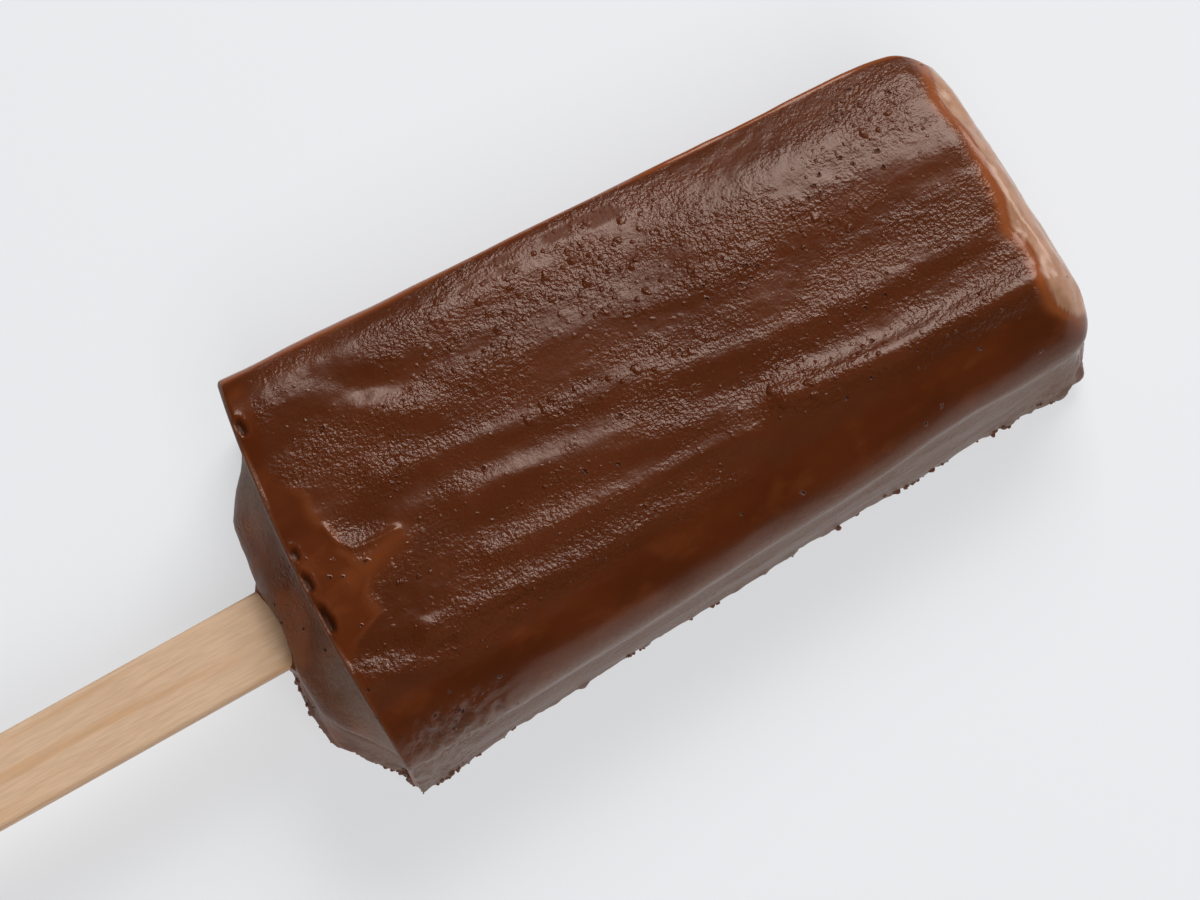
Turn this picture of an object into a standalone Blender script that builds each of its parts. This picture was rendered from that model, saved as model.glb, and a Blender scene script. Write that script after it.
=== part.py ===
"""Chocolate ice cream bar on a flat wooden stick, lying on its back face.

Metres, +Z up. The bar's tip points along +X and the stick's handle along -X. The origin is in
the middle of the footprint, on the surface that the bar lies on. The block is a moulded shape:
wider and thicker at the stick end, with rounded edges, a thin rim at the mould's mouth, a shallow
groove inside that rim and a dome of ice cream round the stick.
"""

import math

import bmesh
import bpy

# The block, measured from the plane of its rim to its tip.
BAR_LENGTH = 0.0961
RIM_WIDTH = 0.0509
TIP_WIDTH = 0.0433
RIM_THICKNESS = 0.0253
TIP_THICKNESS = 0.0233
TIP_RADIUS = 0.0052

# How each long edge is eased: its width, its drop, and the power that the drop follows.
NEAR_FRONT_EASE = (0.0150, 0.0075, 2.2)
FAR_FRONT_EASE = (0.0130, 0.0032, 3.6)
BACK_EASE = (0.0030, 0.0022, 2.6)
EASE_LOSS = 1.6  # How fast these widths shrink as the tip closes.
LEAST_EASE = 0.0014

# The stick end: the rim isn't quite square to the bar, and it bows outwards.
RIM_SLANT = 0.06
RIM_BOW = 0.0017
LIP_RADIUS = 0.0007
GROOVE_DEPTH = 0.0004
GROOVE_SLOPE = 0.0010
DOME_HEIGHT = 0.0050
# Where the dome ends on each side, and how wide its slope is there.
DOME_FAR_END = (0.0190, 0.0090)
DOME_NEAR_END = (-0.0250, 0.0115)
DOME_TOP = (0.0240, 0.0070)
DOME_BOTTOM = (0.0025, 0.0050)

# Broad, shallow furrows that run along the front.
FURROW_DEPTH = 0.0004
FURROW_COUNT = 3.5
FURROW_DRIFT = 0.9

# A standard flat stick with round ends.
STICK_LENGTH = 0.113
STICK_WIDTH = 0.0100
STICK_THICKNESS = 0.0020
STICK_EXPOSED = 0.0575
STICK_SIDE_SHIFT = -0.0020
STICK_SLOPE = 0.045
STICK_EDGE = 0.0003
STICK_END_STEPS = 20
POCKET_GAP = 0.0003

# Cuts of the starting cube along, across and through the bar.
CUTS_ALONG = 35
CUTS_ACROSS = 23
CUTS_THROUGH = 11

TIP_X = (BAR_LENGTH + STICK_EXPOSED) / 2
RIM_X = TIP_X - BAR_LENGTH
STICK_CENTRE_Z = RIM_THICKNESS / 2


def clear_scene():
    for obj in list(bpy.data.objects):
        bpy.data.objects.remove(obj)


def make_collection(name):
    collection = bpy.data.collections.new(name)
    bpy.context.scene.collection.children.link(collection)
    return collection


def make_material(name, color, roughness):
    material = bpy.data.materials.new(name)
    material.use_nodes = True
    shader = material.node_tree.nodes["Principled BSDF"]
    shader.inputs["Base Color"].default_value = (*color, 1.0)
    shader.inputs["Roughness"].default_value = roughness
    shader.inputs["Metallic"].default_value = 0.0
    return material


def mix(start, end, share):
    return start + (end - start) * share


def smooth_step(value):
    share = min(max(value, 0.0), 1.0)
    return share * share * (3 - 2 * share)


def round_off(radius, distance):
    """How far a fillet of this radius falls back, this distance before its far end."""
    inside = min(max(radius - distance, 0.0), radius)
    return radius - math.sqrt(radius * radius - inside * inside)


def ease_drop(y, half_width, inset, ease):
    """How far the surface falls towards this long edge of the section."""
    full_width, full_drop, power = ease
    width = max(full_width - EASE_LOSS * inset, LEAST_EASE)
    past = max(abs(y) - (half_width - width), 0.0) / width
    return full_drop * width / full_width * past**power


def section_point(side, height, share, inset):
    """The place in a cross-section, and how deep it lies below the section's outline."""
    half_width = mix(RIM_WIDTH, TIP_WIDTH, share) / 2 - inset
    y = side * half_width
    front_ease = NEAR_FRONT_EASE if y < 0 else FAR_FRONT_EASE
    top = mix(RIM_THICKNESS, TIP_THICKNESS, share) - inset
    top -= ease_drop(y, half_width, inset, front_ease)
    bottom = inset + ease_drop(y, half_width, inset, BACK_EASE)
    z = mix(bottom, top, (height + 1) / 2)
    depth = min(half_width - abs(y), top - z, z - bottom)
    return y, z, max(depth, 0.0)


def furrow(y, share):
    """The depth of the front's furrows, which fade out towards the long edges."""
    half_width = mix(RIM_WIDTH, TIP_WIDTH, share) / 2
    fade = max(1 - (y / half_width) ** 2, 0.0) ** 2
    wave = math.sin(math.pi * FURROW_COUNT * y / half_width + FURROW_DRIFT * share)
    return FURROW_DEPTH * fade * 0.5 * (1 + wave)


def rim_line(y):
    bow = RIM_BOW * (1 - (2 * y / RIM_WIDTH) ** 2)
    return RIM_SLANT * y - bow


def dome_share(y, z):
    """From 0 outside the dome round the stick to 1 on its top."""
    share = 1.0
    for place, (end, slope) in ((y, DOME_FAR_END), (z, DOME_TOP)):
        share *= smooth_step((end - place) / slope)
    for place, (end, slope) in ((y, DOME_NEAR_END), (z, DOME_BOTTOM)):
        share *= smooth_step((place - end) / slope)
    return share


def end_profile(y, z, depth):
    """How far the stick end stands out past its rim; depth is that below the outline."""
    if depth < LIP_RADIUS:
        return -round_off(LIP_RADIUS, depth)
    inside = smooth_step((depth - LIP_RADIUS) / GROOVE_SLOPE)
    return ((DOME_HEIGHT + GROOVE_DEPTH) * dome_share(y, z) - GROOVE_DEPTH) * inside


def shape_block(grid_point):
    """Where a point of the cube of -1 to 1 goes on the block, with x = 0 in the rim's plane."""
    share = math.sin((grid_point.x + 1) * math.pi / 4)
    side = math.sin(grid_point.y * math.pi / 2)
    height = math.sin(grid_point.z * math.pi / 2)
    start = rim_line(side * RIM_WIDTH / 2) + LIP_RADIUS
    x = mix(start, BAR_LENGTH, share)
    inset = round_off(TIP_RADIUS, BAR_LENGTH - x)
    y, z, depth = section_point(side, height, share, inset)
    on_stick_end = grid_point.x < -0.999
    on_front = grid_point.z > 0.999
    if on_stick_end:
        x = start - LIP_RADIUS - end_profile(y, z, depth)
    if on_front:
        z -= furrow(y, share)
    return x, y, z


def cut_cube(bm, axis, cuts):
    """Cuts every edge that runs along this axis into equal lengths."""
    edges = [
        edge
        for edge in bm.edges
        if abs((edge.verts[1].co - edge.verts[0].co)[axis]) > 1.9
    ]
    bmesh.ops.subdivide_edges(bm, edges=edges, cuts=cuts, use_grid_fill=True)


def make_block(collection, material):
    bm = bmesh.new()
    bmesh.ops.create_cube(bm, size=2.0)
    for axis, cuts in enumerate((CUTS_ALONG, CUTS_ACROSS, CUTS_THROUGH)):
        cut_cube(bm, axis, cuts)
    for vertex in bm.verts:
        vertex.co = shape_block(vertex.co)
    bmesh.ops.recalc_face_normals(bm, faces=bm.faces)
    mesh = bpy.data.meshes.new("ice_bar")
    bm.to_mesh(mesh)
    bm.free()
    mesh.shade_smooth()
    mesh.materials.append(material)
    block = bpy.data.objects.new("ice_bar", mesh)
    block.location = (RIM_X, 0, 0)
    collection.objects.link(block)
    return block


def stick_outline(width, handle_x, inner_x):
    """A long shape with half-round ends, whose ends are at these two places along it."""
    radius = width / 2
    centres = ((inner_x - radius, -math.pi / 2), (handle_x + radius, math.pi / 2))
    points = []
    for centre, first_angle in centres:
        for step in range(STICK_END_STEPS + 1):
            angle = first_angle + math.pi * step / STICK_END_STEPS
            points.append((centre + radius * math.cos(angle), radius * math.sin(angle)))
    return points


def make_flat_mesh(name, points, thickness):
    """A closed plate of this outline, centred on its own plane."""
    curve = bpy.data.curves.new(name + "_outline", "CURVE")
    curve.dimensions = "2D"
    curve.fill_mode = "BOTH"
    curve.extrude = thickness / 2
    spline = curve.splines.new("POLY")
    spline.points.add(len(points) - 1)
    for point, (x, y) in zip(spline.points, points):
        point.co = (x, y, 0, 1)
    spline.use_cyclic_u = True
    outline = bpy.data.objects.new(name + "_outline", curve)
    bpy.context.scene.collection.objects.link(outline)
    bpy.context.view_layer.update()
    graph = bpy.context.evaluated_depsgraph_get()
    mesh = bpy.data.meshes.new_from_object(outline.evaluated_get(graph))
    bpy.data.objects.remove(outline)
    bm = bmesh.new()
    bm.from_mesh(mesh)
    bmesh.ops.remove_doubles(bm, verts=bm.verts, dist=0.00001)
    bmesh.ops.recalc_face_normals(bm, faces=bm.faces)
    bm.to_mesh(mesh)
    bm.free()
    mesh.name = name
    return mesh


def lay_along_bar(obj):
    """Puts the stick's own origin in the rim's plane, with the handle rising a little."""
    obj.location = (RIM_X, STICK_SIDE_SHIFT, STICK_CENTRE_Z)
    obj.rotation_euler = (0, STICK_SLOPE, 0)


def make_stick(collection, material):
    inner_x = STICK_LENGTH - STICK_EXPOSED
    points = stick_outline(STICK_WIDTH, -STICK_EXPOSED, inner_x)
    mesh = make_flat_mesh("stick", points, STICK_THICKNESS)
    mesh.materials.append(material)
    stick = bpy.data.objects.new("stick", mesh)
    lay_along_bar(stick)
    collection.objects.link(stick)
    eased = stick.modifiers.new("eased edges", "BEVEL")
    eased.width = STICK_EDGE
    eased.segments = 2
    eased.limit_method = "ANGLE"
    return stick


def make_pocket(collection):
    """The cutter for the slot that the stick is frozen into, a little larger than the stick."""
    inner_x = STICK_LENGTH - STICK_EXPOSED + POCKET_GAP
    points = stick_outline(STICK_WIDTH + 2 * POCKET_GAP, -STICK_EXPOSED, inner_x)
    mesh = make_flat_mesh("pocket", points, STICK_THICKNESS + 2 * POCKET_GAP)
    pocket = bpy.data.objects.new("pocket", mesh)
    lay_along_bar(pocket)
    pocket.hide_render = True
    pocket.display_type = "WIRE"
    collection.objects.link(pocket)
    return pocket


def cut_out(target, cutter):
    cut = target.modifiers.new("pocket", "BOOLEAN")
    cut.operation = "DIFFERENCE"
    cut.solver = "EXACT"
    cut.object = cutter


def main():
    clear_scene()
    parts = make_collection("ice_cream_bar")
    cutters = make_collection("cutters")
    chocolate = make_material("chocolate_ice", (0.130, 0.030, 0.008), 0.35)
    birch = make_material("birch", (0.660, 0.470, 0.290), 0.60)
    block = make_block(parts, chocolate)
    make_stick(parts, birch)
    cut_out(block, make_pocket(cutters))


main()
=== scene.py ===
"""Finish for a chocolate ice cream bar on a flat stick.

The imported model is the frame. The block is replaced by a dense skin of the same form, with drag
furrows, pebbles, bubble pits, melted tongues and a frosted stick end. The stick is replaced by one
with eased edges and grain. The crumbs are one more mesh, and the frost is part of the finish.
Shapes are worked out in millimetres from the plane of the bar's rim, and laid into the frame in
metres at the end.
"""

import math

import bmesh
import bpy
import numpy as np
from mathutils import Matrix, Quaternion, Vector


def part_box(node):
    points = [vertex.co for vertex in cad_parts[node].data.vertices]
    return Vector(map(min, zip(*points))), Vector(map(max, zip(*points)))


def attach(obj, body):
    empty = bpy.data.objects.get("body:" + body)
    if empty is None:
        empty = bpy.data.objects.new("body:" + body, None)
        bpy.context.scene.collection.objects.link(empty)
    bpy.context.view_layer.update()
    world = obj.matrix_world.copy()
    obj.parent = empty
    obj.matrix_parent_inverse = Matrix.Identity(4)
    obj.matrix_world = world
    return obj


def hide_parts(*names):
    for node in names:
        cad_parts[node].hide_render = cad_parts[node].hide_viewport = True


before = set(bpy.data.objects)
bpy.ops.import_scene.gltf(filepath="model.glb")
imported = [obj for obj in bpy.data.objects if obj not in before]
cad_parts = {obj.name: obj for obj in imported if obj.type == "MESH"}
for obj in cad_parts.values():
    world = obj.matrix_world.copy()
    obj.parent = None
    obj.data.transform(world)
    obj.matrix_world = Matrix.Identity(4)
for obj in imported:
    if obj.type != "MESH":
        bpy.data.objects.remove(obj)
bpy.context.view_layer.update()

bl_info = {
    "name": "Chocolate Ice Cream Bar",
    "version": (1, 0, 0),
    "blender": (4, 5, 0),
    "location": "View3D > Sidebar > Ice Cream Bar",
    "description": "Builds the skin, crumbs and stick of a chocolate ice cream bar",
    "category": "Object",
}

MM = 0.001
BAR_LOW, BAR_HIGH = (np.array(corner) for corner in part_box("ice_bar"))
STICK_LOW, STICK_HIGH = (np.array(corner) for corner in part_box("stick"))
BAR_SIZE = BAR_HIGH - BAR_LOW

# The block's sections, in millimetres. The eased edges are a little finer than the frame's.
LENGTH = 96.1
RIM_WIDTH = float(BAR_SIZE[1]) / MM
RIM_THICKNESS = float(BAR_SIZE[2]) / MM
TIP_WIDTH = 43.3
TIP_THICKNESS = 23.3
TIP_ROUND = 5.2
RIM_SLANT = 0.06
RIM_BOW = 1.7
LIP = 0.6
GROOVE_SLOPE = 1.0
# Where the dome ends on each side, and how wide its slope is there.
DOME_FAR_END = (19.0, 9.0)
DOME_NEAR_END = (-25.0, 11.5)
DOME_TOP = (24.0, 7.0)
DOME_BOTTOM = (2.5, 5.0)
# The dome is this much lower towards the far side, from the first place across to the second.
DOME_FAR_LOSS = 0.17
DOME_FAR_SPAN = (0, 11)
MIDDLE = RIM_THICKNESS / 2

# How each long edge is eased: its width, its drop, and the power that the drop follows.
NEAR_FRONT_EASE = (12.5, 7.5, 2.6)
FAR_FRONT_EASE = (10.0, 2.6, 3.2)
FAR_TIP_EASE = (17.0, 3.4, 2.4)
BACK_EASE = (3.0, 2.2, 2.6)
EASE_LOSS = 1.6  # How fast these widths shrink as the tip closes.
LEAST_EASE = 1.4
# Where along the bar, as shares of its length, the far front ease gives way to the tip's.
FAR_EASE_SPAN = (0.15, 0.75)
# The far side tapers a little more than the near one, and its tip corner is rounder.
FAR_TAPER = 0.5
FAR_CORNER = 1.4
FAR_CORNER_SPAN = (0.88, 1.0)
RIM_X = float(BAR_HIGH[0]) - LENGTH * MM

# The stick's place in the block.
STICK_SIDE_SHIFT = float(STICK_LOW[1] + STICK_HIGH[1]) / 2 / MM
STICK_HALF_WIDTH = float(STICK_HIGH[1] - STICK_LOW[1]) / 2 / MM
STICK_HALF_THICKNESS = 1.0
STICK_SLOPE = 0.045
STICK_REACH = 55.5
STICK_EXPOSED = 57.5

# How the ice cream dips over the stick's front face, and rises against the stick.
DIP_DEPTH = 2.0
DIP_HALF_WIDTH = 3.8
DIP_REACH = 3.6
FILLET_REACH = 0.45
FILLET_HEIGHT = 0.9


# ---------------------------------------------------------------------------- number fields


def mix(start, end, share):
    return start + (end - start) * share


def smooth_step(low, high, value):
    share = np.clip((value - low) / (high - low), 0.0, 1.0)
    return share * share * (3 - 2 * share)


# Large odd factors that scatter the lattice's numbers, and the size that they are kept to.
AXIS_FACTORS = (73856093, 19349663, 83492791)
SEED_FACTOR = 40503
STIR_FACTOR = 0x45D9F3B
LARGEST = 0xFFFFFFFF


def lattice(x, y, z, seed):
    """A repeatable number from -1 to 1 for each whole-number place."""
    factor_x, factor_y, factor_z = AXIS_FACTORS
    mixed = (x * factor_x) ^ (y * factor_y) ^ (z * factor_z) ^ (seed * SEED_FACTOR)
    mixed = mixed & LARGEST
    for _ in range(2):
        mixed = ((mixed ^ (mixed >> 16)) * STIR_FACTOR) & LARGEST
    mixed = mixed ^ (mixed >> 16)
    return mixed / (LARGEST >> 1) - 1.0


def noise(points, size, seed):
    """Smooth noise from -1 to 1. The size is one length, or one for each axis."""
    places = points / np.broadcast_to(np.asarray(size, float), 3)
    corner = np.floor(places).astype(np.int64)
    inside = places - corner
    fade = inside**3 * (inside * (inside * 6 - 15) + 10)
    total = np.zeros(len(points))
    for step in range(8):
        offset = np.array([step & 1, step >> 1 & 1, step >> 2 & 1])
        weight = np.prod(np.where(offset, fade, 1 - fade), axis=1)
        place = corner + offset
        total += weight * lattice(place[:, 0], place[:, 1], place[:, 2], seed)
    return total


def rough_noise(points, size, seed, octaves=3, loss=0.5):
    """Layers of noise, each half the size of the one before."""
    size = np.asarray(size, float)
    total = np.zeros(len(points))
    strength = 1.0
    for octave in range(octaves):
        total += strength * noise(points, size / 2**octave, seed + octave)
        strength *= loss
    return total


# ---------------------------------------------------------------------------- the block's form


def round_off(radius, distance):
    """How far a fillet of this radius falls back, this distance before its far end."""
    inside = np.clip(radius - distance, 0.0, radius)
    return radius - np.sqrt(radius * radius - inside * inside)


def rim_line(y):
    """Where the rim lies along the bar: a little slanted, and bowed outwards."""
    return RIM_SLANT * y - RIM_BOW * (1 - (2 * y / RIM_WIDTH) ** 2)


def ease_drop(y, half_width, inset, ease):
    """How far the surface falls towards this long edge of the section."""
    full_width, full_drop, power = ease
    width = np.maximum(full_width - EASE_LOSS * inset, LEAST_EASE)
    past = np.maximum(abs(y) - (half_width - width), 0.0) / width
    return full_drop * width / full_width * past**power


def section(side, height, x):
    """The outline of the cross-section at this place along the bar."""
    share = np.clip(x / LENGTH, 0.0, 1.0)
    inset = round_off(TIP_ROUND, LENGTH - x)
    half_width = mix(RIM_WIDTH, TIP_WIDTH, share) / 2 - inset
    y = side * half_width
    near_drop = ease_drop(y, half_width, inset, NEAR_FRONT_EASE)
    far_drop = mix(
        ease_drop(y, half_width, inset, FAR_FRONT_EASE),
        ease_drop(y, half_width, inset, FAR_TIP_EASE),
        smooth_step(*FAR_EASE_SPAN, share),
    )
    top = mix(RIM_THICKNESS, TIP_THICKNESS, share) - inset - np.where(y < 0, near_drop, far_drop)
    bottom = inset + ease_drop(y, half_width, inset, BACK_EASE)
    y -= np.maximum(side, 0.0) * FAR_TAPER * share
    y -= np.maximum(side, 0.0) ** 2 * FAR_CORNER * smooth_step(*FAR_CORNER_SPAN, share) ** 2
    return soften(np.stack([y, mix(bottom, top, (height + 1) / 2)], axis=1)).T


def soften(ring, rounds=9):
    """Rounds the creases of a closed ring of points."""
    for _ in range(rounds):
        ring = (np.roll(ring, 1, axis=0) + 2 * ring + np.roll(ring, -1, axis=0)) / 4
    return ring


# Steps across the front, down each side and across the back.
OUTLINE_STEPS = (168, 52, 36)
# How strongly the steps down a side crowd towards its ends.
FLANK_CROWDING = 0.35


def outline():
    """The square outline of a section, walked once round: front, far side, back, near side."""
    front, flank, back = OUTLINE_STEPS
    front_row = np.linspace(-1, 1, front + 1)[:-1]
    even = np.linspace(-1, 1, flank + 1)[:-1]
    flank_row = (1 - FLANK_CROWDING) * even + FLANK_CROWDING * np.sin(even * math.pi / 2)
    back_row = np.sin(np.linspace(-1, 1, back + 1)[:-1] * math.pi / 2)
    side = np.concatenate([front_row, np.ones(flank), -back_row, -np.ones(flank)])
    height = np.concatenate([np.ones(front), -flank_row, -np.ones(back), flank_row])
    return side, height


def dome_share(y, z):
    """From 0 outside the dome round the stick to 1 on its top."""
    share = np.ones(len(y))
    for place, (end, slope) in ((y, DOME_FAR_END), (z, DOME_TOP)):
        share *= smooth_step(0, slope, end - place)
    for place, (end, slope) in ((y, DOME_NEAR_END), (z, DOME_BOTTOM)):
        share *= smooth_step(0, slope, place - end)
    return share * (1 - DOME_FAR_LOSS * smooth_step(*DOME_FAR_SPAN, y))


def end_profile(y, z, depth, settings):
    """How far the stick end stands out past the rim: lip, groove, then dome."""
    groove = settings.groove_depth / MM
    dome = settings.dome_height / MM
    inside = smooth_step(LIP, LIP + GROOVE_SLOPE, depth)
    rise = ((dome + groove) * dome_share(y, z) - groove) * inside
    return np.where(depth > LIP, rise, -round_off(LIP, depth))


def stick_dip(y, z):
    """The hollow that the ice cream keeps over the stick's front face."""
    over = z - (MIDDLE + STICK_HALF_THICKNESS)
    across = np.exp(-(((y - STICK_SIDE_SHIFT) / DIP_HALF_WIDTH) ** 2))
    away = np.exp(-((np.maximum(over, 0.0) / DIP_REACH) ** 2))
    return DIP_DEPTH * across * away * smooth_step(-1.5, 0.5, over)


def stick_fillet(y, z):
    """The chocolate drawn up against the stick all round."""
    gap_y = abs(y - STICK_SIDE_SHIFT) - STICK_HALF_WIDTH
    gap_z = abs(z - MIDDLE) - STICK_HALF_THICKNESS
    gap = np.hypot(np.maximum(gap_y, 0.0), np.maximum(gap_z, 0.0))
    return np.exp(-gap / FILLET_REACH)


# Rings over the stick end, along the bar, round the tip's edge and over the tip's face.
END_RINGS = 34
BODY_RINGS = 238
TIP_RINGS = 24
TIP_FACE_RINGS = 12
# How the stick end's rings crowd towards the rim, and how far in the last of them lies.
END_CROWDING = 1.6
END_SHRINK = 0.985
TIP_FACE_SHRINK = 0.02


class Skin:
    """The block's surface as rings of points from the stick end's middle to the tip's."""

    def __init__(self, settings):
        self.settings = settings
        self.side, self.height = outline()
        self.around = len(self.side)
        rings = self.end_rings() + self.body_rings()
        rings += self.tip_rings(rings[-1][0])
        self.points = np.array([ring[0] for ring in rings]).reshape(-1, 3)
        self.depth = np.array([ring[1] for ring in rings]).reshape(-1)
        self.count = len(rings)
        self.on_end = np.zeros(len(self.points))
        self.on_end[: END_RINGS * self.around] = 1.0

    def place(self, x, y, z):
        return np.stack([np.broadcast_to(x, y.shape), y, z], axis=1)

    def end_rings(self):
        """Shrinking copies of the rim's outline, pushed out to the lip, groove and dome."""
        rings = []
        outer_y, outer_z = section(self.side, self.height, np.zeros(self.around))
        tangent_y = np.roll(outer_y, -1) - np.roll(outer_y, 1)
        tangent_z = np.roll(outer_z, -1) - np.roll(outer_z, 1)
        across = abs(outer_y * tangent_z - (outer_z - MIDDLE) * tangent_y)
        thickness = across / np.hypot(tangent_y, tangent_z)
        for step in range(END_RINGS, 0, -1):
            shrink = (step / END_RINGS) ** END_CROWDING * END_SHRINK
            y = outer_y * (1 - shrink)
            z = MIDDLE + (outer_z - MIDDLE) * (1 - shrink)
            depth = thickness * shrink
            x = rim_line(y) - end_profile(y, z, depth, self.settings)
            x += stick_dip(y, z) - FILLET_HEIGHT * stick_fillet(y, z)
            rings.append((self.place(x, y, z), depth))
        return rings

    def body_rings(self):
        """From the lip to the tip, closer together near the rim and round the tip's edge."""
        start = rim_line(self.side * RIM_WIDTH / 2) + LIP
        steps = np.linspace(0, 1, BODY_RINGS)[:-1]
        straight = [mix(start, LENGTH - TIP_ROUND, 0.8 * step + 0.2 * step**2) for step in steps]
        turns = np.linspace(0, math.pi / 2, TIP_RINGS)
        curved = [LENGTH - TIP_ROUND * (1 - math.sin(turn)) + 0 * start for turn in turns]
        rings = []
        for x in straight + curved:
            y, z = section(self.side, self.height, x)
            rings.append((self.place(x, y, z), np.zeros(self.around)))
        return rings

    def tip_rings(self, last):
        """Shrinking copies of the body's last ring, over the tip's flat face."""
        middle = last.mean(axis=0)
        scales = np.linspace(1, TIP_FACE_SHRINK, TIP_FACE_RINGS + 1)[1:]
        return [(middle + (last - middle) * scale, np.zeros(self.around)) for scale in scales]

    def normals(self):
        grid = self.points.reshape(self.count, self.around, 3)
        along = np.gradient(grid, axis=0)
        round_it = np.roll(grid, -1, axis=1) - np.roll(grid, 1, axis=1)
        normal = np.cross(round_it, along).reshape(-1, 3)
        normal /= np.maximum(np.linalg.norm(normal, axis=1), 1e-9)[:, None]
        outward = np.sum(normal * (self.points - [LENGTH / 2, 0, MIDDLE]), axis=1)
        return normal if outward.mean() > 0 else -normal


# ---------------------------------------------------------------------------- surface relief


# Places on the front, in millimetres past the rim and across the bar.
TONGUE = ((3.5, -4.2), (6.5, -3.4), (10.6, -2.0))
HOOK = ((3.9, 2.9), (4.3, 0.8), (5.6, -0.9), (8.0, -1.3), (11.0, -1.4))
# The bubble hollows in the lip: place, length, width and depth. All are turned by one angle.
HOLLOW_TURN = 4
HOLLOWS = (
    (-0.6, 1.9, 0.9, 0.5, 0.5),
    (-1.0, -1.6, 1.4, 0.6, 0.8),
    (-1.2, -6.4, 2.0, 0.75, 1.1),
    (1.3, 18.3, 1.2, 0.5, 0.7),
)
# Broad dents and swells: place, length, width, turn in degrees and height.
DENTS = (
    (15.5, 16.0, 6.0, 2.2, -35, -0.35),
    (17.5, 11.4, 6.0, 2.4, -35, 0.58),
    (7.6, 1.4, 2.6, 1.5, 0, -0.35),
    (2.0, -13.0, 5.0, 1.6, -20, -0.30),
    (4.0, -16.0, 5.0, 1.6, -20, 0.35),
)
# Where small blisters gather: place, length, width and turn in degrees.
BLISTERED = (
    (42, 16.5, 13, 4.5, 0),
    (52, 10.5, 9, 4.0, 0),
    (30, 13.0, 9, 3.0, 10),
    (70, 5.0, 7, 2.0, -6),
    (64, -10.5, 9, 2.2, -8),
    (83, 15.0, 5, 3.0, 0),
    (40, 1.5, 14, 1.4, -6),
    (9, -7.5, 3, 2.5, 0),
)
# Where small pits gather, in the same way.
PITTED = (
    (69, -12.0, 6, 2.6, -8),
    (71, -4.5, 6, 2.6, -8),
    (58, 6.0, 7, 2.0, -6),
    (78, 9.0, 6, 3.0, 0),
    (6, -22.0, 6, 2.4, 0),
)
# The crumbly corner of the rim, in the same way.
ROUGH_CORNER = (5.5, -24.0, 6.5, 2.0, -4)
# The crests that the wrapper left along the front: their paths, half-widths and heights.
CRESTS = (
    (((20, -2.4), (40, -6.6), (63, -11.6), (72, -12.6), (91, -13.4)), 2.2, 0.36),
    (((58, -10.0), (72, -12.0), (90, -13.0)), 1.9, 0.85),
    (((12, 5.6), (40, 0.4), (60, -3.0), (88, -5.2)), 1.8, 0.30),
    (((13, -0.4), (33, -3.4), (42, -4.8)), 1.2, 0.14),
    (((19, -9.4), (39, -11.0), (52, -11.8)), 1.5, 0.40),
    (((8, -13.6), (26, -15.0), (50, -16.2)), 1.3, 0.32),
    (((22, 10.6), (46, 8.2), (62, 6.4)), 2.4, 0.24),
    (((58, 11.0), (80, 8.0), (92, 6.0)), 2.6, 0.20),
)


def wet_edge(y):
    """How far the melted band reaches in from the rim, by the place across the bar."""
    across = (-25, -20, -13, -10.5, -9, -7, -4.4, -1, 4, 8, 12, 19, 25)
    reach = (1.4, 0.9, 0.9, 2.6, 6.6, 6.0, 7.6, 6.2, 5.2, 4.4, 2.4, 3.4, 2.6)
    return np.interp(y, across, reach)


def tip_highlight_edge(y):
    """Where the painted highlight strip round the tip begins along the bar, by the place across it.
    """
    across = (-22, -18, -14, -9, -6, -2, 3, 7, 10, 13, 17, 22)
    start = (92.4, 91.0, 91.6, 92.5, 92.0, 93.1, 93.6, 93.8, 93.2, 93.4, 94.6, 95.4)
    return np.interp(y, across, start)


def along_path(points, path, width):
    """A soft ridge, 1 on the path and 0 a width away, on the front's plane."""
    best = np.full(len(points), np.inf)
    for (x0, y0), (x1, y1) in zip(path, path[1:]):
        run = np.array([x1 - x0, y1 - y0])
        offset = points[:, :2] - [x0, y0]
        share = np.clip(offset @ run / (run @ run), 0.0, 1.0)
        gap = np.hypot(offset[:, 0] - share * run[0], offset[:, 1] - share * run[1])
        best = np.minimum(best, gap)
    return np.exp(-((best / width) ** 2))


def oval(points, x, y, length, width, angle=0.0):
    """A soft oval mound, 1 at its middle, on the front's plane."""
    turn = math.radians(angle)
    over_x = points[:, 0] - x
    over_y = points[:, 1] - y
    along = over_x * math.cos(turn) + over_y * math.sin(turn)
    across = over_y * math.cos(turn) - over_x * math.sin(turn)
    return np.exp(-((along / length) ** 2) - (across / width) ** 2)


# ---------------------------------------------------------------------------- mesh helpers


def new_mesh_object(name, points, faces, material, values=None):
    """A smooth-shaded object from points in metres, with named numbers at its points."""
    mesh = bpy.data.meshes.new(name)
    mesh.from_pydata(points.tolist(), [], faces if isinstance(faces, list) else faces.tolist())
    mesh.validate()
    for title, numbers in (values or {}).items():
        layer = mesh.attributes.new(title, "FLOAT", "POINT")
        layer.data.foreach_set("value", np.asarray(numbers, np.float32))
    mesh.shade_smooth()
    mesh.materials.append(material)
    obj = bpy.data.objects.new(name, mesh)
    bpy.context.scene.collection.objects.link(obj)
    return obj


def tube_faces(count, around):
    """The faces of a closed tube of this many rings, with a flat face over each end."""
    ring = np.arange(around)
    following = np.roll(ring, -1)
    base = (np.arange(count - 1) * around)[:, None]
    corners = [base + ring, base + around + ring, base + around + following, base + following]
    last = (count - 1) * around + ring
    return [*np.stack(corners, axis=2).reshape(-1, 4).tolist(), ring.tolist(), last[::-1].tolist()]


def into_frame(points):
    """From millimetres past the rim's plane to metres in the frame."""
    return points * MM + np.array([RIM_X, 0.0, 0.0])


# ---------------------------------------------------------------------------- materials


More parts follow.
